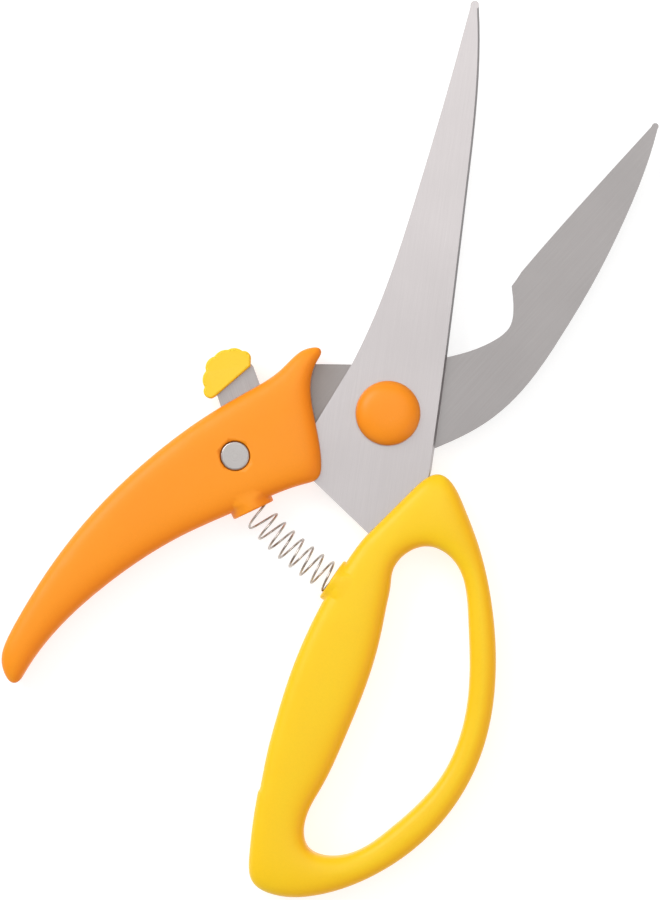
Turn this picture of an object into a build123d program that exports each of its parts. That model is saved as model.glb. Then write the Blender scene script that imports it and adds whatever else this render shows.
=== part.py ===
"""Spring-opened poultry shears: two flat blades on one pivot, a closed loop handle for the
fingers, a curved handle for the thumb side, a return spring between them and a swinging lock.

Millimetres.  The origin is on the pivot axis, in the plane that the closed-side faces of both
handles lie on.  +Z points out of the front face, and +Y runs from the pivot to the tip of the
straight blade.  The model stands in its open pose, with the lock released.
"""
import os
from math import acos, atan2, cos, degrees, hypot, radians, sin

from build123d import *

os.makedirs("parts", exist_ok=True)

# ---- driving dimensions -------------------------------------------------------------------
handle_thickness = 13.0
blade_thickness = 2.0
blade_gap = 0.05                     # daylight between the two blade faces
rear_blade_z = 4.5                   # rear face of the notched blade
front_blade_z = rear_blade_z + blade_thickness + blade_gap
blade_top_z = front_blade_z + blade_thickness - blade_gap
closing_angle = 31.0                 # swing of the thumb half from open to closed
bevel_width = 0.6                    # ground bevel, across the blade
bevel_depth = 1.5                    # ground bevel, through the blade

pivot_diameter = 6.0
pivot_clearance = 0.05               # radial, in the blade that turns
pivot_head_diameter = 11.0
pivot_head_height = 2.0
washer_diameter = 12.0
washer_thickness = 0.5
nut_across_flats = 10.0
nut_height = 2.4
cap_diameter = 17.8
cap_height = 4.2
rear_land_diameter = 8.0             # flat on the rear cap, in the resting plane

rivet_at = (-38.6, -20.2)            # axis of the lock lever
rivet_head_diameter = 8.0
rivet_head_height = 1.3
rivet_recess = 0.2                   # radial gap round each head
sleeve_diameter = 5.0
sleeve_bore = 3.0
lever_clearance = 0.05               # radial, on the sleeve
lever_thickness = 2.0
lever_float = 0.1                    # each side of the lever in its slot
lock_angle = 12.0                    # swing of the lever from released to locked
hook_inner = 22.3                    # hook faces are arcs about the rivet
hook_outer = 24.9
hook_tip_angle = 61.5                # released
hook_fit = 0.2                       # between the hook and the sides of its notch
square_turn = 12.0                   # the square under the bolt's head
hook_notch_sweep = 22.0              # carries the notch out through the blade's spine
lever_boss_radius = 8.0              # round the rivet
lever_room_radius = 9.5              # the slot's room round the lever's boss

slot_top_z = rear_blade_z + blade_thickness + lever_thickness + 2 * lever_float
slot_floor_z = rear_blade_z + blade_thickness
stop_clearance = 0.15                # left at both ends of the swing

tab_thickness = 6.0                  # of the scalloped thumb tab
tab_corner = 0.35                    # in the valleys between the scallops
tab_roll = 0.6

spring_wire = 0.65
spring_diameter = 8.5                # outside
spring_pitch = 3.6
spring_end_gap = 0.6                 # from each boss face to the nearest coil
seat_tilt_reach = 3.2                # the tilted rim of a boss reaches this far along the spring
boss_radius = 6.1
pocket_radius = 4.8
pocket_depth = 4.0
thumb_boss = (-30.5, -33.8)          # centre of the spring seat on the thumb handle
thumb_boss_facing = -52.5
loop_boss = (-5.7, -47.8)            # centre of the spring seat on the loop handle
loop_boss_facing = 158.0

middle_z = handle_thickness / 2


# ---- helpers ------------------------------------------------------------------------------
def turned(point, angle, centre=(0.0, 0.0)):
    """The point swung about a centre, counter-clockwise seen from the front."""
    dx = point[0] - centre[0]
    dy = point[1] - centre[1]
    c = cos(radians(angle))
    s = sin(radians(angle))
    return (centre[0] + c * dx - s * dy, centre[1] + s * dx + c * dy)


def polar(radius, angle, centre=(0.0, 0.0)):
    """The point at a distance and a direction from a centre."""
    return (centre[0] + radius * cos(radians(angle)), centre[1] + radius * sin(radians(angle)))


def line_reach(point, direction):
    """How far from the pivot axis the line through a point passes."""
    return abs(point[0] * sin(radians(direction)) - point[1] * cos(radians(direction)))


def seat_plane(centre, facing):
    """The plane of a spring seat: it faces along the spring, at half the thickness."""
    direction = (cos(radians(facing)), sin(radians(facing)), 0)
    return Plane(origin=(centre[0], centre[1], middle_z), x_dir=(0, 0, 1), z_dir=direction)


def front_and_back(part):
    """The edges round the front face and the back face of a plate-like part."""
    return part.edges().group_by(Axis.Z)[0] + part.edges().group_by(Axis.Z)[-1]


# The heel is the lower left corner of the straight blade, hidden in the thumb handle.
heel = (-22.9, -18.3)
spine_knee = (-12.5, 11.1)           # where the curved spine meets the straight one
jaw_root = (1.6, -33.5)              # where the heel edge enters the loop handle
heel_edge_direction = degrees(atan2(jaw_root[1] - heel[1], jaw_root[0] - heel[0]))
spine_direction = degrees(atan2(spine_knee[1] - heel[1], spine_knee[0] - heel[0]))
heel_edge_reach = line_reach(heel, heel_edge_direction)
spine_reach = line_reach(heel, spine_direction)
heel_radius = hypot(*heel)
closed_rivet = turned(rivet_at, closing_angle)


# ---- straight blade -----------------------------------------------------------------------
with BuildPart() as straight_blade:
    with BuildSketch(Plane.XY.offset(front_blade_z)):
        with BuildLine():
            spine = Spline((-1.0, 114.2), (-2.3, 91.9), (-4.8, 59.9), (-8.7, 27.6), spine_knee)
            Polyline(spine_knee, heel, jaw_root, (3.2, -37.0), (2.8, -50.0), (0.6, -62.0), (6.4, -64.0),
                     (8.0, -50.0), (8.6, -37.0), (14.0, -26.0), (15.0, -12.8))
            edge = Spline((15.0, -12.8), (12.7, 18.8), (8.8, 62.9), (5.5, 93.7), (2.7, 108.8), (1.2, 114.8))
            ThreePointArc(edge @ 1, (0.1, 115.9), spine @ 0)
        make_face()
        Rectangle(pivot_diameter, pivot_diameter, rotation=square_turn, mode=Mode.SUBTRACT)
    extrude(amount=blade_top_z - front_blade_z)
    # The notch that the hook of the lock swings into, open through the spine.
    with BuildSketch(Plane.XY.offset(front_blade_z)):
        with BuildLine():
            start = hook_tip_angle - lock_angle + closing_angle - 1.0
            near_side = CenterArc(closed_rivet, hook_inner - hook_fit, start, hook_notch_sweep)
            far_side = CenterArc(closed_rivet, hook_outer + hook_fit, start, hook_notch_sweep)
            Line(near_side @ 0, far_side @ 0)
            Line(near_side @ 1, far_side @ 1)
        make_face()
    extrude(amount=blade_thickness, mode=Mode.SUBTRACT)
    cutting_edge = (
        straight_blade.edges()
        .filter_by(lambda e: abs((e @ 0.5).Z - blade_top_z) < 1e-4)
        .filter_by(lambda e: e.length > 60 and (e @ 0.5).X > 5)
    )
    front_face = straight_blade.faces().sort_by(Axis.Z)[-1]
    chamfer(cutting_edge, length=bevel_width, length2=bevel_depth, reference=front_face)
straight_blade.part.label = "straight_blade"

# ---- notched blade ------------------------------------------------------------------------
with BuildPart() as notched_blade:
    with BuildSketch(Plane.XY.offset(rear_blade_z)):
        with BuildLine():
            cut = Spline((27.9, 45.7), (38.8, 65.3), (46.6, 78.7), (54.7, 92.5))
            back = Spline((56.4, 92.1), (55.4, 80.7), (52.4, 64.4), (48.1, 47.7), (42.3, 30.7), (34.7, 13.5),
                          (27.8, 4.0), (15.2, -6.4), (4.0, -12.4), (-6.0, -14.4), (-16.0, -15.6))
            ThreePointArc(cut @ 1, (56.0, 93.4), back @ 0)
            # The barb, and then the bone notch and the back of its hook.
            Spline((27.9, 45.7), (26.9, 43.1), (26.1, 41.4))
            Spline((26.1, 41.4), (28.0, 34.9), (28.0, 30.5), (24.6, 25.8), (12.8, 18.5),
                   (0.0, 13.8), (-12.2, 11.1), (-24.0, 8.7))
            Polyline((-24.0, 8.7), (-33.0, -2.5), (-46.0, -15.5), (-58.0, -31.0), (-61.0, -38.0),
                     (-56.0, -43.0), (-47.0, -37.5), (-32.0, -25.5), (-16.0, -15.6))
        make_face()
        Circle(pivot_diameter / 2 + pivot_clearance, mode=Mode.SUBTRACT)
        with Locations(rivet_at):
            Circle(sleeve_diameter / 2, mode=Mode.SUBTRACT)
    extrude(amount=blade_thickness)
    cutting_edge = (
        notched_blade.edges()
        .filter_by(lambda e: abs((e @ 0.5).Z - rear_blade_z) < 1e-4)
        .filter_by(lambda e: abs(e.length - cut.length) < 0.01)
    )
    back_face = notched_blade.faces().sort_by(Axis.Z)[0]
    chamfer(cutting_edge, length=bevel_width, length2=bevel_depth, reference=back_face)
notched_blade.part.label = "notched_blade"

# ---- loop handle --------------------------------------------------------------------------
loop_roll = 3.0                      # rounding of the edges of both faces
with BuildPart() as loop_handle:
    with BuildSketch():
        with BuildLine():
            collar_end = (11.6, -18.2)
            collar = Line(jaw_root, collar_end)
            Spline(collar_end,
                   (17.1, -13.4), (21.6, -15.4), (25.3, -20.0), (30.7, -28.2), (39.3, -46.6),
                   (44.2, -65.7), (44.7, -85.7), (37.6, -107.4), (24.3, -123.7), (7.9, -133.9),
                   (-3.0, -136.0), (-9.6, -133.9), (-12.1, -126.5), (-13.3, -111.7), (-12.8, -91.3),
                   (-8.3, -60.0), jaw_root,
                   tangents=[collar % 1, collar % 0], tangent_scalars=[0.6, 0.6])
        make_face()
        with BuildLine():
            Spline((10.4, -44.5), (12.5, -37.2), (18.7, -33.5), (26.0, -35.8), (33.4, -50.6), (38.1, -75.0),
                   (35.3, -94.6), (24.6, -111.6), (11.4, -122.2), (3.5, -121.5), (1.1, -114.0), (3.5, -104.6),
                   (6.9, -90.4), (10.3, -69.5), (10.8, -59.0), (10.7, -51.5), periodic=True)
        make_face(mode=Mode.SUBTRACT)
    extrude(amount=handle_thickness)
    fillet(front_and_back(loop_handle), radius=loop_roll)
    with BuildSketch(seat_plane(loop_boss, loop_boss_facing)):
        Circle(boss_radius)
    extrude(amount=-boss_radius)
    with BuildSketch(seat_plane(loop_boss, loop_boss_facing)):
        Circle(pocket_radius)
    extrude(amount=-pocket_depth, mode=Mode.SUBTRACT)
    add(straight_blade.part, mode=Mode.SUBTRACT)
loop_handle.part.label = "loop_handle"

# ---- thumb handle -------------------------------------------------------------------------
thumb_roll = 1.2
with BuildPart() as thumb_handle:
    with BuildSketch():
        with BuildLine():
            top = Spline((-23.3, 13.6), (-26.5, 12.1), (-30.9, 6.1), (-38.9, -2.1), (-48.9, -11.3),
                         (-63.2, -27.9), (-73.5, -43.4), (-81.2, -58.6), (-86.8, -73.3), (-89.4, -82.0),
                         (-90.0, -87.6), (-88.2, -92.0), (-87.0, -93.3))
            under = Spline((-83.6, -92.9), (-80.9, -85.5), (-77.0, -77.8), (-65.5, -61.8), (-48.3, -44.7),
                           (-31.7, -32.6), (-21.9, -25.8), (-17.1, -23.2))
            ThreePointArc(top @ 1, (-85.2, -94.1), under @ 0)
            end = Spline((-14.6, -19.5), (-16.0, -13.9), (-19.7, -4.9), (-22.5, 3.7), (-21.3, 11.9))
            ThreePointArc(under @ 1, (-15.2, -21.8), end @ 0)
            ThreePointArc(end @ 1, (-21.6, 13.5), top @ 0)
        make_face()
    extrude(amount=handle_thickness)
    fillet(front_and_back(thumb_handle), radius=thumb_roll)
    with BuildSketch(seat_plane(thumb_boss, thumb_boss_facing)):
        Circle(boss_radius)
    extrude(amount=-boss_radius)
    with BuildSketch(seat_plane(thumb_boss, thumb_boss_facing)):
        Circle(pocket_radius)
    extrude(amount=-pocket_depth, mode=Mode.SUBTRACT)
    add(notched_blade.part, mode=Mode.SUBTRACT)
    # The slot that the heel of the straight blade swings in.  The heel edge lies on its lower
    # left corner when the shears are open, and on its lower side when they are closed.
    with BuildSketch(Plane.XY.offset(slot_floor_z)):
        with BuildLine():
            swing_radius = heel_radius + 0.4
            edge_offset = heel_edge_reach + stop_clearance
            open_facing = heel_edge_direction - 90
            closed_facing = open_facing - closing_angle
            meeting = (open_facing + closed_facing) / 2 % 360
            stop_point = polar(edge_offset / cos(radians(closing_angle / 2)), meeting)
            ledge_angle = open_facing % 360 - degrees(acos(edge_offset / swing_radius))
            ledge_end = polar(swing_radius, ledge_angle)
            spine_offset = spine_reach + 0.4
            spine_facing = spine_direction + 90 - closing_angle
            top_angle = spine_facing + degrees(acos(spine_offset / swing_radius))
            swing = CenterArc((0, 0), swing_radius, top_angle, ledge_angle - top_angle)
            Line(ledge_end, stop_point)
            low_end = polar(9, closed_facing + 90, stop_point)
            high_end = polar(16, spine_direction - closing_angle, ((swing @ 0).X, (swing @ 0).Y))
            Polyline(stop_point, low_end, (-8.0, low_end[1]), (-8.0, high_end[1]), high_end, swing @ 0)
        make_face()
        # The room that the lock lever swings in, open through the handle's upper edge.
        with BuildLine():
            room_start = 38.0
            room = CenterArc(rivet_at, hook_outer + 0.4, room_start, 118.5 - room_start)
            Line(room @ 0, rivet_at)
            Line(rivet_at, room @ 1)
        make_face()
        with Locations(rivet_at):
            Circle(lever_room_radius)
    extrude(amount=slot_top_z - slot_floor_z, mode=Mode.SUBTRACT)
    with Locations((rivet_at[0], rivet_at[1], 0)):
        Cylinder(sleeve_diameter / 2, 3 * handle_thickness, mode=Mode.SUBTRACT)
        Cylinder(rivet_head_diameter / 2 + rivet_recess, 2 * rivet_head_height, mode=Mode.SUBTRACT)
    with Locations((rivet_at[0], rivet_at[1], handle_thickness)):
        Cylinder(rivet_head_diameter / 2 + rivet_recess, 2 * rivet_head_height, mode=Mode.SUBTRACT)
thumb_handle.part.label = "thumb_handle"

# ---- pivot: bolt, washer, nut and caps ----------------------------------------------------
nut_top_z = rear_blade_z - washer_thickness
nut_bottom_z = nut_top_z - nut_height
bolt_end_z = nut_bottom_z - 0.3
with BuildPart() as pivot_bolt:
    with BuildSketch(Plane.XY.offset(blade_top_z)):
        Circle(pivot_head_diameter / 2)
    extrude(amount=pivot_head_height)
    fillet(pivot_bolt.edges().group_by(Axis.Z)[-1], radius=0.8)
    with BuildSketch(Plane.XY.offset(front_blade_z)):
        Rectangle(pivot_diameter, pivot_diameter, rotation=square_turn)
    extrude(amount=blade_top_z - front_blade_z)
    with BuildSketch(Plane.XY.offset(bolt_end_z)):
        Circle(pivot_diameter / 2)
    extrude(amount=front_blade_z - bolt_end_z)
    chamfer(pivot_bolt.edges().group_by(Axis.Z)[0], length=0.3)
pivot_bolt.part.label = "pivot_bolt"

with BuildPart() as pivot_washer:
    with BuildSketch(Plane.XY.offset(nut_top_z)):
        Circle(washer_diameter / 2)
        Circle(pivot_diameter / 2 + pivot_clearance, mode=Mode.SUBTRACT)
    extrude(amount=washer_thickness)
pivot_washer.part.label = "pivot_washer"

with BuildPart() as pivot_nut:
    with BuildSketch(Plane.XY.offset(nut_bottom_z)):
        RegularPolygon(nut_across_flats / 2, 6, major_radius=False)
        Circle(pivot_diameter / 2, mode=Mode.SUBTRACT)
    extrude(amount=nut_height)
pivot_nut.part.label = "pivot_nut"

with BuildPart() as front_cap:
    with BuildSketch(Plane.XZ):
        with BuildLine():
            shoulder = (cap_diameter / 2, blade_top_z + 0.8)
            crown = (0, blade_top_z + cap_height)
            Spline(shoulder, crown, tangents=[(-0.2, 1), (-1, 0)])
            Polyline(crown, (0, blade_top_z), (cap_diameter / 2, blade_top_z), shoulder)
        make_face()
    revolve(axis=Axis.Z)
    with Locations((0, 0, blade_top_z)):
        Cylinder(pivot_head_diameter / 2, 2 * pivot_head_height, mode=Mode.SUBTRACT)
front_cap.part.label = "front_cap"

with BuildPart() as rear_cap:
    with BuildSketch(Plane.XZ):
        with BuildLine():
            rim_z = rear_blade_z - 0.1
            rim = (cap_diameter / 2, rim_z)
            shoulder = (cap_diameter / 2, rim_z - 0.7)
            land = (rear_land_diameter / 2, 0)
            Line(rim, shoulder)
            Spline(shoulder, land, tangents=[(-0.2, -1), (-1, 0)])
            nut_room = nut_across_flats / 2 + 0.8
            washer_room = washer_diameter / 2 + 0.2
            Polyline(land, (0, 0), (0, bolt_end_z), (nut_room, bolt_end_z), (nut_room, nut_top_z),
                     (washer_room, nut_top_z), (washer_room, rim_z), rim)
        make_face()
    revolve(axis=Axis.Z)
rear_cap.part.label = "rear_cap"

# ---- lock: rivet, lever and thumb tab -----------------------------------------------------
with BuildPart() as rivet_sleeve:
    with BuildSketch(Plane.XY.offset(0.1)):
        with Locations(rivet_at):
            Circle(rivet_head_diameter / 2)
    extrude(amount=rivet_head_height - 0.1)
    fillet(rivet_sleeve.edges().group_by(Axis.Z)[0], radius=0.4)
    with BuildSketch(Plane.XY.offset(rivet_head_height)):
        with Locations(rivet_at):
            Circle(sleeve_diameter / 2)
            Circle(sleeve_bore / 2, mode=Mode.SUBTRACT)
    extrude(amount=handle_thickness - 2 * rivet_head_height)
rivet_sleeve.part.label = "rivet_sleeve"

with BuildPart() as rivet_pin:
    with BuildSketch(Plane.XY.offset(handle_thickness - rivet_head_height)):
        with Locations(rivet_at):
            Circle(rivet_head_diameter / 2)
    extrude(amount=rivet_head_height - 0.1)
    fillet(rivet_pin.edges().group_by(Axis.Z)[-1], radius=0.5)
    with BuildSketch(Plane.XY.offset(2 * rivet_head_height)):
        with Locations(rivet_at):
            Circle(sleeve_bore / 2)
    extrude(amount=handle_thickness - 3 * rivet_head_height)
rivet_pin.part.label = "rivet_pin"

lever_floor_z = slot_floor_z + lever_float
chord_left = (-46.7, -5.3)
chord_right = (-38.9, 4.9)
with BuildPart() as lock_lever:
    with BuildSketch(Plane.XY.offset(lever_floor_z)):
        with BuildLine():
            hook_back = CenterArc(rivet_at, hook_outer, hook_tip_angle, 13.5)
            hook_front = CenterArc(rivet_at, hook_inner, hook_tip_angle, 10.8)
            Line(hook_front @ 0, hook_back @ 0)
            Polyline(hook_back @ 1, (-35.9, 0.1), chord_right, (-40.6, 6.2), (-47.9, -3.9), chord_left,
                     polar(5.0, 117.4, rivet_at), rivet_at, polar(7.9, 30, rivet_at),
                     polar(11.0, 60, rivet_at), polar(18.3, 72.8, rivet_at), hook_front @ 1)
        make_face()
        with Locations(rivet_at):
            Circle(lever_boss_radius)
            Circle(sleeve_diameter / 2 + lever_clearance, mode=Mode.SUBTRACT)
    extrude(amount=lever_thickness)
lock_lever.part.label = "lock_lever"

with BuildPart() as lock_tab:
    with BuildSketch(Plane.XY.offset(lever_floor_z + lever_thickness / 2 - tab_thickness / 2)) as tab_face:
        with BuildLine():
            ThreePointArc((-48.0, -6.0), (-50.2, -5.7), (-50.7, -3.5))
            ThreePointArc((-50.7, -3.5), (-51.8, -1.1), (-51.3, 0.9))
            ThreePointArc((-51.3, 0.9), (-51.6, 3.2), (-49.9, 5.3))
            ThreePointArc((-49.9, 5.3), (-48.8, 6.9), (-46.6, 7.9))
            ThreePointArc((-46.6, 7.9), (-44.6, 8.8), (-42.7, 8.4))
            ThreePointArc((-42.7, 8.4), (-40.8, 8.2), (-39.9, 6.4))
            Polyline((-39.9, 6.4), (-39.6, 4.8), (-47.2, -5.2), (-48.0, -6.0))
        make_face()
        fillet(tab_face.vertices(), radius=tab_corner)
    extrude(amount=tab_thickness)
    fillet(front_and_back(lock_tab), radius=tab_roll)
    add(lock_lever.part, mode=Mode.SUBTRACT)
lock_tab.part.label = "lock_tab"

# ---- return spring ------------------------------------------------------------------------
seat_gap = hypot(loop_boss[0] - thumb_boss[0], loop_boss[1] - thumb_boss[1])
spring_axis = ((loop_boss[0] - thumb_boss[0]) / seat_gap, (loop_boss[1] - thumb_boss[1]) / seat_gap, 0)
first_coil = seat_tilt_reach + spring_end_gap
spring_length = seat_gap - 2 * first_coil
coil_radius = (spring_diameter - spring_wire) / 2
spring_start = polar(first_coil, degrees(atan2(spring_axis[1], spring_axis[0])), thumb_boss)
spring_origin = (*spring_start, middle_z)
with BuildPart() as return_spring:
    with BuildLine():
        coils = Helix(pitch=spring_pitch, height=spring_length, radius=coil_radius, center=spring_origin,
                      direction=spring_axis)
    with BuildSketch(Plane(origin=coils @ 0, z_dir=coils % 0)):
        Circle(spring_wire / 2)
    sweep()
return_spring.part.label = "return_spring"

# ---- files --------------------------------------------------------------------------------
pieces = [straight_blade, notched_blade, loop_handle, thumb_handle, pivot_bolt, pivot_washer, pivot_nut,
          front_cap, rear_cap, rivet_sleeve, rivet_pin, lock_lever, lock_tab, return_spring]
for piece in pieces:
    export_step(piece.part, "parts/" + piece.part.label + ".step")
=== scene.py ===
"""Looks for the poultry shears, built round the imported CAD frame. Metres, in the CAD frame."""
import math

import bmesh
import bpy
import numpy as np
from mathutils import Matrix, Vector
from mathutils.geometry import delaunay_2d_cdt


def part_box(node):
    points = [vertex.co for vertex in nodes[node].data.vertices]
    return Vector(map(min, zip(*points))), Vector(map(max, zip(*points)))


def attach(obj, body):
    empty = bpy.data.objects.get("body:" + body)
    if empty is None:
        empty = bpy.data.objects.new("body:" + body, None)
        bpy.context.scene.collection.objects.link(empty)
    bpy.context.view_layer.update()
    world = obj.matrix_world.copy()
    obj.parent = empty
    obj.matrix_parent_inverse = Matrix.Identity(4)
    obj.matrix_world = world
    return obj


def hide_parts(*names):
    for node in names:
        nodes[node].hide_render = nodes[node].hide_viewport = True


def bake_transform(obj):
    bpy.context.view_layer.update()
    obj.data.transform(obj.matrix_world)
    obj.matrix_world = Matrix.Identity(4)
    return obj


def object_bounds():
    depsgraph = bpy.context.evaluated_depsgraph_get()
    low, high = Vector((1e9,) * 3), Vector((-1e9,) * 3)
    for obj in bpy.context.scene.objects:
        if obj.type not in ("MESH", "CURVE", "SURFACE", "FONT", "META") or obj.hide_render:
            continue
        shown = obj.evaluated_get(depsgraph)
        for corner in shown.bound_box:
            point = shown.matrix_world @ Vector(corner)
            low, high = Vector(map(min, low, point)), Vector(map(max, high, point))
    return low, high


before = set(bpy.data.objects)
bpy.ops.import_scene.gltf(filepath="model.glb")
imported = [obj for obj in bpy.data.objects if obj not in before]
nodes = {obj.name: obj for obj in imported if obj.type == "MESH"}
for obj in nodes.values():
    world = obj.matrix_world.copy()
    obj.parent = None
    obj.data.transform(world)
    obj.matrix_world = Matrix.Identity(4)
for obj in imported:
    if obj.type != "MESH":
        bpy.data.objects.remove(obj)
cad_low, cad_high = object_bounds()

MM = 0.001
back_z, front_z = (corner.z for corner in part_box("thumb_handle"))
MIDDLE = (front_z + back_z) / 2   # height of the handles' middle plane
HALF = (front_z - back_z) / 2     # half the handles' thickness

# Handles
SKIN = 0.03 * MM          # the new handles lie this far inside the CAD ones
SIDE = 2.5 * MM           # half height of the upright band round a handle, where the blades come out
SECTION = 3.6 * MM        # height of a cut that meets no slot of either handle
REACH = 4.3 * MM          # how far in from its edge a handle's face keeps rising
SPACING = 0.8 * MM        # between the points of an outline
WELD = 1e-7               # points of a CAD mesh that are this close are one

# Spring seats: the middle of each mouth, and the way that it faces
THUMB_SEAT = (Vector((-30.5, -33.8)) * MM, math.radians(-52.5))
LOOP_SEAT = (Vector((-5.7, -47.8)) * MM, math.radians(158.0))
SEAT_RADIUS = 6.1 * MM
POCKET_DEPTH = 4.0 * MM


# ---- materials ----------------------------------------------------------------------------
class Paint:
    """A Principled material whose colour, roughness and bump come from nodes."""

    def __init__(self, name, metallic=0.0, specular=0.5):
        self.material = bpy.data.materials.new(name)
        self.material.use_nodes = True
        self.tree = self.material.node_tree
        self.shader = self.tree.nodes["Principled BSDF"]
        self.shader.inputs["Metallic"].default_value = metallic
        self.shader.inputs["Specular IOR Level"].default_value = specular
        self.place = self.tree.nodes.new("ShaderNodeTexCoord")

    def link(self, source, target):
        self.tree.links.new(source, target)

    def stretched(self, scale, turn):
        """Object coordinates, turned about Z and scaled for each axis."""
        turned = self.tree.nodes.new("ShaderNodeMapping")
        turned.inputs["Rotation"].default_value = (0, 0, turn)
        self.link(self.place.outputs["Object"], turned.inputs["Vector"])
        scaled = self.tree.nodes.new("ShaderNodeMapping")
        scaled.inputs["Scale"].default_value = scale
        self.link(turned.outputs["Vector"], scaled.inputs["Vector"])
        return scaled.outputs["Vector"]

    def noise(self, scale, detail=3.0, rough=0.55, turn=0.0, distortion=0.0):
        """Noise of about `scale` cells to the metre, one number or one for each axis."""
        scales = (scale,) * 3 if isinstance(scale, (int, float)) else scale
        node = self.tree.nodes.new("ShaderNodeTexNoise")
        node.inputs["Scale"].default_value = 1.0
        node.inputs["Detail"].default_value = detail
        node.inputs["Roughness"].default_value = rough
        node.inputs["Distortion"].default_value = distortion
        self.link(self.stretched(scales, turn), node.inputs["Vector"])
        return node.outputs["Fac"]

    def ramp(self, value, first, last):
        """A ramp of greys between two stops, each of them (position, grey)."""
        node = self.tree.nodes.new("ShaderNodeValToRGB")
        elements = node.color_ramp.elements
        for element, (position, grey) in zip(elements, (first, last)):
            element.position = position
            element.color = (grey, grey, grey, 1)
        self.link(value, node.inputs["Fac"])
        return node.outputs["Color"]

    def range(self, value, low, high, to_low, to_high):
        """The value with low to high spread over to_low to to_high, and held there beyond them."""
        node = self.tree.nodes.new("ShaderNodeMapRange")
        numbers = {"From Min": low, "From Max": high, "To Min": to_low, "To Max": to_high}
        for name, number in numbers.items():
            node.inputs[name].default_value = number
        self.link(value, node.inputs["Value"])
        return node.outputs["Result"]

    def math(self, operation, *values):
        node = self.tree.nodes.new("ShaderNodeMath")
        node.operation = operation
        for socket, value in zip(node.inputs, values):
            if isinstance(value, (int, float)):
                socket.default_value = value
            else:
                self.link(value, socket)
        return node.outputs["Value"]

    def mix(self, factor, a, b):
        """Colour a where the factor is 0 and b where it is 1."""
        node = self.tree.nodes.new("ShaderNodeMix")
        node.data_type = "RGBA"
        sockets = [s for s in node.inputs if s.type == "RGBA"]
        for socket, value in ((node.inputs["Factor"], factor), (sockets[0], a), (sockets[1], b)):
            if isinstance(value, (int, float)):
                socket.default_value = value
            elif isinstance(value, tuple):
                socket.default_value = (*value, 1)
            else:
                self.link(value, socket)
        return [s for s in node.outputs if s.type == "RGBA"][0]

    def axis(self, source, letter):
        node = self.tree.nodes.new("ShaderNodeSeparateXYZ")
        self.link(source, node.inputs["Vector"])
        return node.outputs[letter]

    def facing(self, letter):
        """How far the surface faces along one of the object's own axes."""
        return self.axis(self.place.outputs["Normal"], letter)

    def edges(self, low, high):
        """1 on convex edges, 0 elsewhere."""
        geometry = self.tree.nodes.new("ShaderNodeNewGeometry")
        return self.range(geometry.outputs["Pointiness"], low, high, 0.0, 1.0)

    def bump(self, height, distance, strength, under=None):
        node = self.tree.nodes.new("ShaderNodeBump")
        node.inputs["Strength"].default_value = strength
        node.inputs["Distance"].default_value = distance
        self.link(height, node.inputs["Height"])
        if under is not None:
            self.link(under, node.inputs["Normal"])
        return node.outputs["Normal"]

    def finish(self, colour, roughness, normal):
        self.link(colour, self.shader.inputs["Base Color"])
        self.link(roughness, self.shader.inputs["Roughness"])
        self.link(normal, self.shader.inputs["Normal"])
        return self.material


def moulded_plastic(name, colour, shade, painted_shade_colour, rough):
    """Injection-moulded plastic: a fine spark-eroded grain, faint flow marks and paler, rubbed edges.

    Flow marks are drawn in `shade`. The sides that turn away from the key light, to the right and a
    little down, run to the last colour given: painted shade.
    """
    right, down = 0.98, 0.20
    p = Paint(name, specular=0.28)
    flow = p.noise(45, detail=4, distortion=0.4)
    speck = p.noise(1500, detail=2)
    base = p.mix(p.range(flow, 0.3, 0.7, 0.0, 1.0), shade, colour)
    # Painted shade: the colour deepens on the sides that face away from the key light, to the right and a
    # little down.
    rightward = p.math("MULTIPLY", p.facing("X"), right)
    turned = p.math("SUBTRACT", rightward, p.math("MULTIPLY", p.facing("Y"), down))
    with_painted_shade = p.mix(p.range(turned, 0.0, 0.42, 0.0, 1.0), base, painted_shade_colour)
    lighter = tuple(min(1.0, c * 0.92 + 0.06) for c in colour)
    worn = p.mix(p.math("MULTIPLY", p.edges(0.54, 0.64), 0.25), with_painted_shade, lighter)
    dotted = p.mix(p.range(speck, 0.35, 0.65, 0.0, 0.10), worn, tuple(c * 0.82 for c in colour))
    rubbed = p.noise(260, detail=5, rough=0.7)
    spread = p.range(rubbed, 0.3, 0.7, rough - 0.07, rough + 0.06)
    roughness = p.math("ADD", spread, p.range(flow, 0.2, 0.8, -0.02, 0.02))
    waves = p.bump(p.noise(110, detail=2), 0.12 * MM, 0.35)
    grain = p.bump(p.noise(2600, detail=3, rough=0.6), 0.03 * MM, 0.5, under=waves)
    return p.finish(dotted, roughness, grain)


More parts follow.
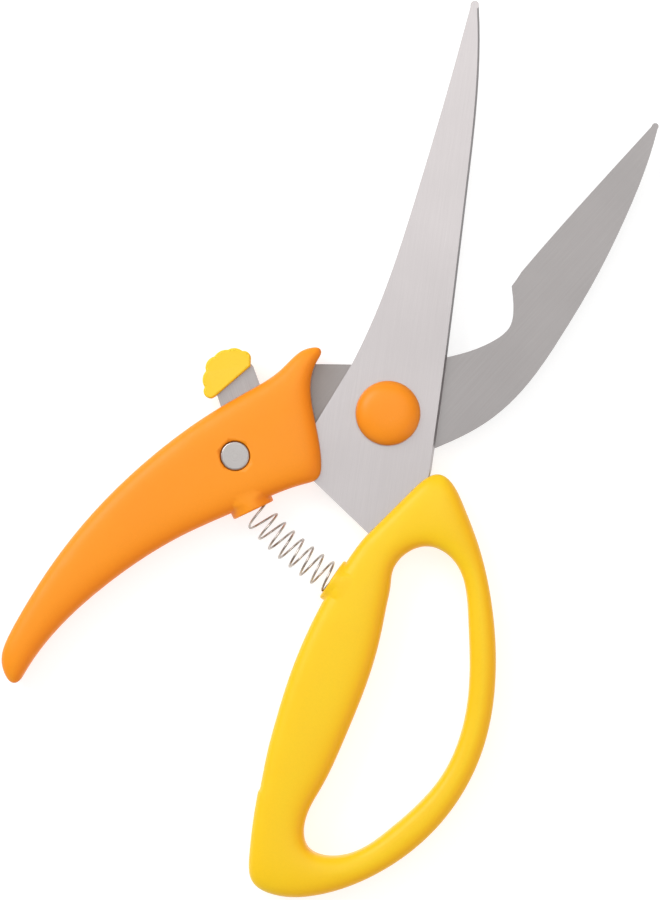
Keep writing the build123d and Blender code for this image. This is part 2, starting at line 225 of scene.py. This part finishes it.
def brushed_steel(name, bright, dark, turn, rough, streak=0.04, tang_tone_and_shade=None, dark_edges_from=None):
    """Ground and brushed sheet steel: long fine scratches, a few deeper ones and darkened steep faces.

    Its roughness spreads by `streak` about `rough`. Steep faces, the ground bevel and the sides, are
    painted dark, partly for the bevel's cross-ground finish and partly as painted shade, and fully only
    above the Y that the last argument gives. The tang argument is the colour that the steel darkens to
    towards the handle: partly its own darker tone, partly painted shade.
    """
    tang_from, tang_full = -8 * MM, -24 * MM
    p = Paint(name, metallic=1.0)
    fine = p.noise((7000, 90, 3000), detail=3, turn=turn)
    wide = p.noise((1500, 22, 900), detail=3, turn=turn)
    cloud = p.noise(38, detail=3)
    scratch = p.noise((5200, 55, 2500), detail=1, turn=turn + 0.05)
    lines = p.math("ADD", p.math("MULTIPLY", fine, 0.75), p.math("MULTIPLY", wide, 0.25))
    base = p.mix(p.range(lines, 0.36, 0.64, 0.0, 1.0), dark, bright)
    clouded = p.mix(p.range(cloud, 0.3, 0.7, 0.0, 0.22), base, dark)
    lighter = tuple(min(1.0, c * 1.15) for c in bright)
    scored = p.mix(p.range(scratch, 0.70, 0.78, 0.0, 0.3), clouded, lighter)
    # Steep faces (the ground bevel, the sides) are painted dark: partly their cross-ground finish, partly
    # painted shade.
    ground_and_shade = p.range(p.math("ABSOLUTE", p.facing("Z")), 0.80, 0.45, 0.0, 1.0)
    if dark_edges_from is not None:
        height = p.axis(p.place.outputs["Object"], "Y")
        ground_and_shade = p.math("MULTIPLY", ground_and_shade, p.range(height, dark_edges_from, dark_edges_from + 1 * MM, 0.12, 1.0))
    cross = p.noise((900, 9000, 3000), detail=2, turn=turn)
    ground_and_shade_colour = p.mix(cross, tuple(c * 0.30 for c in dark), tuple(c * 0.62 for c in dark))
    colour = p.mix(ground_and_shade, scored, ground_and_shade_colour)
    # Darker towards the handle: partly the tang's own darker tone, partly painted shade where the handle
    # shades it.
    if tang_tone_and_shade is not None:
        along = p.axis(p.place.outputs["Object"], "X")
        colour = p.mix(p.range(along, tang_from, tang_full, 0.0, 0.75), colour, tang_tone_and_shade)
    spread = p.range(lines, 0.3, 0.7, rough - streak, rough + streak)
    roughness = p.math("ADD", spread, p.range(cloud, 0.3, 0.7, 0.0, 0.04))
    grain = p.bump(lines, 0.01 * MM, 0.30)
    scratches = p.bump(scratch, 0.01 * MM, 0.20, under=grain)
    return p.finish(colour, roughness, scratches)


def turned_steel(name, bright, dark, centre=(0.0, 0.0), rough=0.3):
    """Plated and turned steel: rings about an axis, with a tumbled, slightly mottled surface."""
    p = Paint(name, metallic=1.0)
    shift = p.tree.nodes.new("ShaderNodeMapping")
    shift.inputs["Location"].default_value = (-centre[0], -centre[1], 0)
    p.link(p.place.outputs["Object"], shift.inputs["Vector"])
    flat = p.tree.nodes.new("ShaderNodeVectorMath")
    flat.operation = "MULTIPLY"
    flat.inputs[1].default_value = (1, 1, 0)
    p.link(shift.outputs["Vector"], flat.inputs[0])
    radius = p.tree.nodes.new("ShaderNodeVectorMath")
    radius.operation = "LENGTH"
    p.link(flat.outputs["Vector"], radius.inputs[0])
    rings = p.tree.nodes.new("ShaderNodeTexNoise")
    rings.noise_dimensions = "1D"
    rings.inputs["Scale"].default_value = 4200
    rings.inputs["Detail"].default_value = 3
    p.link(radius.outputs["Value"], rings.inputs["W"])
    mottle = p.noise(900, detail=4)
    both = p.math("ADD", p.math("MULTIPLY", rings.outputs["Fac"], 0.5), p.math("MULTIPLY", mottle, 0.5))
    colour = p.mix(p.range(both, 0.35, 0.65, 0.0, 1.0), dark, bright)
    lighter = tuple(min(1.0, c * 1.3) for c in bright)
    worn = p.mix(p.math("MULTIPLY", p.edges(0.52, 0.6), 0.5), colour, lighter)
    roughness = p.range(mottle, 0.3, 0.7, rough - 0.06, rough + 0.1)
    return p.finish(worn, roughness, p.bump(both, 0.02 * MM, 0.4))


def spring_wire(name):
    """Drawn wire: fine die lines and small tempering stains."""
    p = Paint(name, metallic=1.0)
    stain = p.noise(420, detail=4)
    die = p.noise(5200, detail=2)
    colour = p.mix(p.range(stain, 0.32, 0.68, 0.0, 1.0), (0.34, 0.295, 0.265), (0.78, 0.735, 0.69))
    fine = p.mix(p.range(die, 0.3, 0.7, 0.0, 0.35), colour, (0.27, 0.235, 0.215))
    return p.finish(fine, p.range(stain, 0.3, 0.7, 0.24, 0.38), p.bump(die, 0.02 * MM, 0.4))


# Colours are given as: the colour, the one that the noise varies it towards, and the painted shade colour
# (plastics) or the tang's colour, its own darker tone with painted shade (notched blade).
plastic_orange = moulded_plastic(
    "orange_plastic", (0.98, 0.315, 0.010), (0.96, 0.300, 0.010), (0.95, 0.250, 0.005), rough=0.42)
plastic_cap = moulded_plastic(
    "cap_plastic", (0.98, 0.305, 0.010), (0.96, 0.290, 0.010), (0.95, 0.265, 0.006), rough=0.38)
plastic_yellow = moulded_plastic(
    "yellow_plastic", (0.98, 0.625, 0.010), (0.98, 0.600, 0.010), (0.98, 0.490, 0.006), rough=0.38)
plastic_tab = moulded_plastic(
    "tab_plastic", (0.95, 0.63, 0.025), (0.93, 0.60, 0.020), (0.92, 0.50, 0.010), rough=0.42)
steel_straight = brushed_steel(
    "straight_blade_steel", (0.520, 0.490, 0.490), (0.480, 0.450, 0.451),
    turn=math.radians(-4), rough=0.40, streak=0.03, dark_edges_from=19 * MM)
steel_notched = brushed_steel(
    "notched_blade_steel", (0.365, 0.345, 0.342), (0.330, 0.312, 0.308),
    turn=math.radians(30), rough=0.44, streak=0.025, tang_tone_and_shade=(0.235, 0.195, 0.172))
steel_lever = brushed_steel(
    "lever_steel", (0.42, 0.39, 0.385), (0.345, 0.318, 0.312), turn=math.radians(-30), rough=0.4)
rivet_centre = (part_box("rivet_pin")[0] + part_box("rivet_pin")[1]) / 2
steel_rivet = turned_steel(
    "rivet_steel", (0.47, 0.448, 0.435), (0.38, 0.358, 0.345), rivet_centre[:2], rough=0.36)
steel_pivot = turned_steel("pivot_steel", (0.56, 0.54, 0.53), (0.42, 0.40, 0.39))
steel_spring = spring_wire("spring_steel")


def paint(piece, material):
    """Gives the piece this one material."""
    piece.data.materials.clear()
    piece.data.materials.append(material)
    piece.data.update()


kept_nodes = {
    "straight_blade": steel_straight, "notched_blade": steel_notched, "lock_lever": steel_lever,
    "lock_tab": plastic_tab, "front_cap": plastic_cap, "rear_cap": plastic_cap,
    "rivet_pin": steel_rivet, "rivet_sleeve": steel_rivet,
    "pivot_bolt": steel_pivot, "pivot_nut": steel_pivot, "pivot_washer": steel_pivot,
}
for node, material in kept_nodes.items():
    paint(nodes[node], material)


# ---- handles ------------------------------------------------------------------------------
def from_lowest(points):
    """The closed outline anticlockwise from its lowest point on, whichever point it was found from."""
    x, y = points.T
    if np.sum(x * np.roll(y, -1) - np.roll(x, -1) * y) < 0:
        points = points[::-1]
    return np.roll(points, -np.argmin(points[:, 1]), 0)


def cut_loops(node, height):
    """The closed outlines where a level plane cuts a CAD node, longest first."""
    bm = bmesh.new()
    bm.from_mesh(nodes[node].data)
    bmesh.ops.remove_doubles(bm, verts=bm.verts, dist=WELD)
    geometry = bm.verts[:] + bm.edges[:] + bm.faces[:]
    cut = bmesh.ops.bisect_plane(bm, geom=geometry, plane_co=(0, 0, height), plane_no=(0, 0, 1))
    edges = dict.fromkeys(e for e in cut["geom_cut"] if isinstance(e, bmesh.types.BMEdge))
    loops = []
    while edges:
        edge = next(iter(edges))
        del edges[edge]
        loop = [edge.verts[0], edge.verts[1]]
        while loop[-1] is not loop[0]:
            following = [e for e in loop[-1].link_edges if e in edges]
            if not following:
                break
            del edges[following[0]]
            loop.append(following[0].other_vert(loop[-1]))
        loops.append(from_lowest(np.array([v.co.xy[:] for v in loop[:-1]])))
    bm.free()
    lengths = [np.linalg.norm(p - np.roll(p, 1, 0), axis=1).sum() for p in loops]
    return [loops[i] for i in np.argsort(lengths)[::-1]]


def without_seat(loop, seat):
    """The outline with the spring seat and its pocket left out, so that it runs straight past them."""
    centre, facing = seat
    along = np.array([math.cos(facing), math.sin(facing)])
    across = np.array([-along[1], along[0]])
    offset = loop - np.array(centre)
    beside = (np.abs(offset @ across) < 0.92 * SEAT_RADIUS) & (offset @ along > -1.6 * POCKET_DEPTH)
    return loop[~beside]


def resampled(loop):
    """The outline as points evenly apart, lightly smoothed."""
    closed = np.vstack([loop, loop[:1]])
    steps = np.linalg.norm(np.diff(closed, axis=0), axis=1)
    run = np.concatenate([[0], np.cumsum(steps)])
    at = np.linspace(0, run[-1], int(run[-1] / SPACING) + 1)[:-1]
    points = np.stack([np.interp(at, run, closed[:, k]) for k in (0, 1)], 1)
    for _ in range(2):
        points = 0.5 * points + 0.25 * (np.roll(points, 1, 0) + np.roll(points, -1, 0))
    return points


def inward(points, solid_inside):
    """Unit normals of an outline that point into the plastic."""
    tangent = np.roll(points, -1, 0) - np.roll(points, 1, 0)
    tangent /= np.linalg.norm(tangent, axis=1)[:, None]
    normal = np.stack([-tangent[:, 1], tangent[:, 0]], 1)
    return normal if solid_inside else -normal


def depth_inside(points, loops):
    """How far each point is inside the plastic, in metres; negative outside it."""
    batch, level = 4000, 1e-12
    nearest = np.full(len(points), np.inf)
    crossings = np.zeros(len(points), int)
    for a in loops:
        b = np.roll(a, -1, 0)
        ab = b - a
        rise = np.where(np.abs(ab[:, 1]) < level, level, ab[:, 1])
        for first in range(0, len(points), batch):
            some = slice(first, first + batch)
            p = points[some]
            t = np.clip(((p[:, None] - a) * ab).sum(2) / (ab ** 2).sum(1), 0, 1)
            gap = np.linalg.norm(p[:, None] - a - t[..., None] * ab, axis=2).min(1)
            nearest[some] = np.minimum(nearest[some], gap)
            spans = (a[:, 1] > p[:, 1:2]) != (b[:, 1] > p[:, 1:2])
            meets = a[:, 0] + (p[:, 1:2] - a[:, 1]) / rise * ab[:, 0]
            crossings[some] += (spans & (p[:, :1] < meets)).sum(1)
    return np.where(crossings % 2 == 1, nearest, -nearest)


def swell_field(loops):
    """A level field that is 0 on the outlines and rises smoothly towards 1 inside, over about REACH.

    It settles on a grid, and the function that is returned reads it anywhere.
    """
    cell, rounds = 0.4 * MM, 500
    points = np.vstack(loops)
    low = points.min(0) - 3 * cell
    count = np.ceil((points.max(0) + 3 * cell - low) / cell).astype(int) + 1
    grid = np.stack(np.meshgrid(np.arange(count[0]), np.arange(count[1]), indexing="ij"), -1) * cell + low
    depth = depth_inside(grid.reshape(-1, 2), loops).reshape(count)
    outside = depth <= 0
    below = 0.9 * np.maximum(depth, -2 * cell) / REACH
    field = np.where(outside, below, 1 - np.exp(-np.maximum(depth, 0) / REACH))
    pull = (REACH / cell) ** 2
    for _ in range(rounds):
        around = np.roll(field, 1, 0) + np.roll(field, -1, 0) + np.roll(field, 1, 1) + np.roll(field, -1, 1)
        field = np.where(outside, field, (1 + pull * around) / (1 + 4 * pull))

    def sample(at):
        u = (at - low) / cell
        i = np.clip(np.floor(u).astype(int), 0, count - 2)
        f = u - i
        return ((1 - f[:, 0]) * (1 - f[:, 1]) * field[i[:, 0], i[:, 1]]
                + f[:, 0] * (1 - f[:, 1]) * field[i[:, 0] + 1, i[:, 1]]
                + (1 - f[:, 0]) * f[:, 1] * field[i[:, 0], i[:, 1] + 1]
                + f[:, 0] * f[:, 1] * field[i[:, 0] + 1, i[:, 1] + 1])
    return sample


def face_points(loops):
    """Points over a handle's face and the level of each: outlines, then rings inside them, then a grid."""
    swell = swell_field(loops)
    rings = np.array([0.05, 0.18, 0.40, 0.72, 1.15, 1.7, 2.4, 3.2, 4.2, 5.4, 6.8]) * MM
    steep = 1.15 * MM   # nearer the edge the field's grid is too coarse, and a formula gives the level
    places = list(loops)
    levels = [np.zeros(len(points)) for points in loops]
    for k, points in enumerate(loops):
        normal = inward(points, k == 0)
        base = swell(points + steep * normal)
        for ring in rings:
            at = points + ring * normal
            keep = depth_inside(at, loops) > 0.97 * ring
            near = base * (1 - np.exp(-ring / REACH)) / (1 - math.exp(-steep / REACH))
            places.append(at[keep])
            levels.append((near if ring < steep else swell(at))[keep])
    low, high = np.vstack(loops).min(0), np.vstack(loops).max(0)
    step = 1.7 * MM
    rows = np.arange(low[1], high[1], step * 0.87)
    columns = np.arange(low[0], high[0], step)
    grid = np.array([(x + (j % 2) * step / 2, y) for j, y in enumerate(rows) for x in columns])
    grid = grid[depth_inside(grid, loops) > rings[-1] + 0.5 * step]
    places.append(grid)
    levels.append(swell(grid))
    return np.vstack(places), np.concatenate(levels)


def uncrowded(place, level, fixed):
    """Which points to keep: the first `fixed`, those near the edge, and no two together elsewhere."""
    size, edge_level = 0.33 * MM, 0.30
    taken, kept = set(), list(range(fixed))
    for i in range(fixed, len(place)):
        if level[i] <= edge_level:
            kept.append(i)
            continue
        x, y = (place[i] // size).astype(int)
        if not any((x + dx, y + dy) in taken for dx in (-1, 0, 1) for dy in (-1, 0, 1)):
            kept.append(i)
            taken.add((x, y))
    return kept


def between_faces(name, flat, triangles, height):
    """A solid whose mirrored faces are the triangles, `height` off the middle plane, with a wall round it."""
    bm = bmesh.new()
    top = [bm.verts.new((x, y, MIDDLE + h)) for (x, y), h in zip(flat, height)]
    bottom = [bm.verts.new((x, y, MIDDLE - h)) for (x, y), h in zip(flat, height)]
    directed = {}
    for a, b, c in triangles:
        bm.faces.new((top[a], top[b], top[c]))
        bm.faces.new((bottom[c], bottom[b], bottom[a]))
        directed.update(dict.fromkeys(((a, b), (b, c), (c, a))))
    for a, b in directed:
        if (b, a) not in directed:
            bm.faces.new((top[b], top[a], bottom[a], bottom[b]))
    loose = [v for v in bm.verts if not v.link_faces]
    bmesh.ops.delete(bm, geom=loose, context="VERTS")
    bmesh.ops.recalc_face_normals(bm, faces=bm.faces)
    return to_object(name, bm)


def rolled_solid(name, loops):
    """A plate-like solid with an upright band at its edge and faces that roll smoothly into it."""
    loops = [points + SKIN * inward(points, k == 0) for k, points in enumerate(loops)]
    edges, fixed = [], 0
    for points in loops:
        edges += [(fixed + i, fixed + (i + 1) % len(points)) for i in range(len(points))]
        fixed += len(points)
    place, level = face_points(loops)
    kept = uncrowded(place, level, fixed)
    place, level = place[kept], level[kept]
    result = delaunay_2d_cdt([Vector(p) for p in place], edges, [], 0, 1e-8)
    flat = np.array([v[:] for v in result[0]])
    triangles = np.array([f for f in result[2] if len(f) == 3])
    triangles = triangles[depth_inside(flat[triangles].mean(1), loops) > 0]
    lift = np.array([level[ids[0]] if ids else 0.0 for ids in result[3]])
    round_off = np.sqrt(np.clip(1 - (1 - np.clip(lift, 0, 1)) ** 2, 0, 1))
    return between_faces(name, flat, triangles, SIDE + (HALF - SIDE - SKIN) * round_off)


def join_rings(bm, rings):
    """Faces from each ring of vertices to the next."""
    for low, high in zip(rings, rings[1:]):
        for k in range(len(low)):
            after = (k + 1) % len(low)
            bm.faces.new((low[k], low[after], high[after], high[k]))


def to_object(name, bm):
    """A new object in the scene with the mesh, which is used up."""
    mesh = bpy.data.meshes.new(name)
    bm.to_mesh(mesh)
    bm.free()
    made = bpy.data.objects.new(name, mesh)
    bpy.context.scene.collection.objects.link(made)
    return made


def seat_boss(name, seat):
    """The boss of a spring seat: round with a softened rim, and squarer where it leaves the handle."""
    r, rim, segments = SEAT_RADIUS - SKIN, 0.55 * MM, 72
    rows = [  # radius, height and the power of the section's superellipse
        (r - rim, -SKIN, 2.0),
        (r - 0.45 * rim, -SKIN - 0.10 * rim, 2.0),
        (r - 0.10 * rim, -SKIN - 0.45 * rim, 2.0),
        (r, -SKIN - rim, 2.0),
        (r, -1.8 * MM, 2.0),
        (r, -2.4 * MM, 2.4),
        (r, -3.0 * MM, 3.0),
        (r, -3.6 * MM, 3.6),
        (r, -7.0 * MM, 3.6),
    ]
    bm = bmesh.new()
    rings = []
    for radius, height, power in rows:
        ring = []
        for k in range(segments):
            c, s = math.cos(2 * math.pi * k / segments), math.sin(2 * math.pi * k / segments)
            x = math.copysign(abs(c) ** (2 / power), c)
            y = math.copysign(abs(s) ** (2 / power), s)
            ring.append(bm.verts.new((radius * x, radius * y, height)))
        rings.append(ring)
    join_rings(bm, rings)
    bm.faces.new(rings[0])
    bm.faces.new(rings[-1])
    centre, facing = seat
    ahead = Vector((math.cos(facing), math.sin(facing), 0))
    up = Vector((0, 0, 1))
    turn = Matrix((up, ahead.cross(up), ahead)).transposed().to_4x4()
    bm.transform(Matrix.Translation((centre[0], centre[1], MIDDLE)) @ turn)
    bmesh.ops.recalc_face_normals(bm, faces=bm.faces)
    return to_object(name, bm)


def combine(piece, other, operation):
    """Leaves the piece with the result of a boolean with the other, which is used up."""
    modifier = piece.modifiers.new("combine", "BOOLEAN")
    modifier.object = other
    modifier.operation = operation
    modifier.solver = "EXACT"
    evaluated = piece.evaluated_get(bpy.context.evaluated_depsgraph_get())
    mesh = bpy.data.meshes.new_from_object(evaluated)
    piece.modifiers.clear()
    piece.data = mesh
    bpy.data.objects.remove(other)


def welded_copy(node):
    """The mesh of a CAD node as a closed solid of its own."""
    bm = bmesh.new()
    bm.from_mesh(nodes[node].data)
    bmesh.ops.remove_doubles(bm, verts=bm.verts, dist=WELD)
    return to_object(node + "_copy", bm)


def soften(piece, degrees):
    """Smooth shading with hard edges only where faces meet at more than an angle."""
    piece.data.polygons.foreach_set("use_smooth", [True] * len(piece.data.polygons))
    piece.data.set_sharp_from_angle(angle=math.radians(degrees))


def ledge(points, low, high, depth):
    """A small ledge in the left side of an outline at the height `low`, fading out towards `high`."""
    fade = np.clip((high - points[:, 1]) / (high - low), 0, 1)
    raised = (points[:, 1] > low) & (points[:, 0] < 0)
    offset = np.where(raised, depth * fade * fade * (3 - 2 * fade), 0)
    return points + offset[:, None] * inward(points, True)


def handle(name, node, seat, holes, body, material):
    """A handle in place of its CAD node: rolled faces and a boss, with the CAD's pocket and slots."""
    loops = cut_loops(node, SECTION)[:1 + holes]
    loops[0] = without_seat(loops[0], seat)
    loops = [resampled(loop) for loop in loops]
    if holes:
        loops[0] = ledge(loops[0], low=-109 * MM, high=-95 * MM, depth=0.38 * MM)
    piece = rolled_solid(name, loops)
    combine(piece, seat_boss("boss", seat), "UNION")
    combine(piece, welded_copy(node), "INTERSECT")
    soften(piece, degrees=38)
    paint(piece, material)
    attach(piece, body)
    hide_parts(node)
    return piece


thumb_grip = handle("thumb_grip", "thumb_handle", THUMB_SEAT, 0, "thumb_half", plastic_orange)
loop_grip = handle("loop_grip", "loop_handle", LOOP_SEAT, 1, "loop_half", plastic_yellow)


# ---- return spring ------------------------------------------------------------------------
WIRE = 0.31 * MM          # radius of the wire
COIL = 4.1 * MM           # radius of the coils, to the middle of the wire
TURNS = 11                # counted with the first, which the thumb handle's pocket hides and isn't made
INSET = 3.3 * MM          # how far the coils' middle line goes into each pocket


def bezier(a, b, c, d, t):
    """The point at t on the cubic curve with these four control points."""
    return (1 - t) ** 3 * a + 3 * (1 - t) ** 2 * t * b + 3 * (1 - t) * t * t * c + t ** 3 * d


def middle_line():
    """The coils' middle line from pocket to pocket, as points and the length run at each.

    The first coils lean in their pocket, so the line leaves it a little to one side of its middle.
    """
    lean, in_pocket, between = math.radians(8.5), 20, 80
    tilt = THUMB_SEAT[1] + lean
    leave = Vector((math.cos(tilt), math.sin(tilt)))
    arrive = Vector((-math.cos(LOOP_SEAT[1]), -math.sin(LOOP_SEAT[1])))
    beside = Vector((-math.sin(THUMB_SEAT[1]), math.cos(THUMB_SEAT[1])))
    p0 = THUMB_SEAT[0] + beside * 0.33 * MM
    p3 = LOOP_SEAT[0]
    pull = (p3 - p0).length * 0.32
    line = [p0 - INSET * leave * (1 - k / in_pocket) for k in range(in_pocket)]
    p1, p2 = p0 + pull * leave, p3 - pull * arrive
    line += [bezier(p0, p1, p2, p3, k / between) for k in range(between + 1)]
    line += [p3 + INSET * arrive * k / in_pocket for k in range(1, in_pocket + 1)]
    line = np.array([v[:] for v in line])
    return line, np.concatenate([[0], np.cumsum(np.linalg.norm(np.diff(line, axis=0), axis=1))])


LINE, RUN = middle_line()


def coil_middle(share):
    """The point of the middle line at a share of its length."""
    at = np.clip(share, 0, 1) * RUN[-1]
    return np.array([np.interp(at, RUN, LINE[:, 0]), np.interp(at, RUN, LINE[:, 1]), MIDDLE])


def on_wire(turn):
    """The middle of the wire after so many turns.

    The coils lie apart evenly, but for a steeper pitch in the thumb handle's pocket and closed ends.
    """
    end_turns, mouth, steeper, closed_pitch, phase = 0.6, 0.185, 1.9, 0.12, 0.75
    share = (turn - end_turns) / (TURNS - 2 * end_turns)
    share = min(share, mouth - steeper * (mouth - share))
    held = min(max(share, 0.0), 1.0)
    here, ahead, behind = coil_middle(held), coil_middle(held + 0.01), coil_middle(held - 0.01)
    direction = (ahead - behind) / np.linalg.norm(ahead - behind)
    side, up = np.array([-direction[1], direction[0], 0]), np.array([0, 0, 1])
    lift = (share - held) * RUN[-1] * closed_pitch
    angle = 2 * math.pi * turn + phase
    return here + lift * direction + COIL * (math.cos(angle) * side + math.sin(angle) * up)


def spring_turn(number):
    """One turn of the bent coil spring, as a tube round the wire's middle line."""
    sides, steps = 10, 36
    start = coil_middle(0.0)
    chord = coil_middle(1.0) - start
    reach = np.dot(chord, chord)
    path = np.array([on_wire(number + k / steps) for k in range(steps + 1)])
    before = on_wire(number - 1 / steps)
    after = on_wire(number + 1 + 1 / steps)
    tangents = np.vstack([path[1:], after]) - np.vstack([before, path[:-1]])
    around = [2 * math.pi * k / sides for k in range(sides)]
    bm = bmesh.new()
    rings = []
    for point, tangent in zip(path, tangents):
        tangent = tangent / np.linalg.norm(tangent)
        share = np.dot(point - start, chord) / reach
        across = np.cross(tangent, point - (start + share * chord))
        across /= np.linalg.norm(across)
        other = np.cross(tangent, across)
        section = [point + WIRE * (math.cos(a) * across + math.sin(a) * other) for a in around]
        rings.append([bm.verts.new(corner) for corner in section])
    join_rings(bm, rings)
    bm.faces.new(rings[0][::-1])
    bm.faces.new(rings[-1])
    bmesh.ops.recalc_face_normals(bm, faces=bm.faces)
    piece = to_object(f"spring_turn_{number}", bm)
    soften(piece, degrees=60)
    paint(piece, steel_spring)
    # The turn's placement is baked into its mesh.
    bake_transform(piece)
    return piece


for turn in [spring_turn(number) for number in range(1, TURNS)]:
    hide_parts("return_spring")


# ---- stage, light and camera --------------------------------------------------------------
centre = (cad_low + cad_high) / 2
bpy.ops.mesh.primitive_plane_add(size=8, location=(centre.x, centre.y, cad_low.z - 0.2 * MM))
floor = bpy.context.object
floor.name = "floor"
sheet = Paint("floor_white", specular=0.2)
pale = sheet.ramp(sheet.noise(6), (0.3, 0.42), (0.7, 0.44))
matt = sheet.range(sheet.noise(40), 0.3, 0.7, 0.85, 0.95)
paint(floor, sheet.finish(pale, matt, sheet.bump(sheet.noise(900), 0.1 * MM, 0.1)))
sheet.shader.inputs["Emission Color"].default_value = (1, 1, 1, 1)
sheet.shader.inputs["Emission Strength"].default_value = 0.72

ROLL = math.radians(12)   # the camera is turned by this about its own axis
TALL = 247.5 * MM         # height that the picture takes in, at the blades
BLADES = 8 * MM           # height of the blades' faces
AIM = (-13.47 * MM, -13.21 * MM)
across = Vector((math.cos(ROLL), math.sin(ROLL), 0))
upward = Vector((-math.sin(ROLL), math.cos(ROLL), 0))


def softbox(name, toward, distance, size, power, colour=(1, 1, 1)):
    """An area light that faces the object. `toward` is (right, up, out) as the camera sees them."""
    light = bpy.data.lights.new(name, "AREA")
    light.shape = "SQUARE"
    light.size = size
    light.energy = power
    light.color = colour
    made = bpy.data.objects.new(name, light)
    bpy.context.scene.collection.objects.link(made)
    direction = (across * toward[0] + upward * toward[1] + Vector((0, 0, toward[2]))).normalized()
    made.location = centre + direction * distance
    made.rotation_euler = direction.to_track_quat("Z", "Y").to_euler()


softbox("key", (-0.75, 0.62, 0.85), distance=0.9, size=0.55, power=4.5)
softbox("top", (0.10, 0.25, 1.0), distance=1.3, size=0.9, power=4.1)
softbox("fill", (0.9, -0.5, 0.7), distance=1.1, size=0.7, power=1.2, colour=(1.0, 0.97, 0.93))

world = bpy.data.worlds.new("studio")
world.use_nodes = True
world.node_tree.nodes["Background"].inputs["Color"].default_value = (1, 1, 1, 1)
world.node_tree.nodes["Background"].inputs["Strength"].default_value = 0.46
bpy.context.scene.world = world
bpy.context.scene.view_settings.view_transform = "Standard"

camera_data = bpy.data.cameras.new("camera")
camera_data.sensor_width = 36
camera_data.lens = 200
camera = bpy.data.objects.new("camera", camera_data)
bpy.context.scene.collection.objects.link(camera)
bpy.context.scene.camera = camera
camera.location = (*AIM, BLADES + TALL * camera_data.lens / camera_data.sensor_width)
camera.rotation_euler = (0, 0, ROLL)
camera_data.clip_end = 20
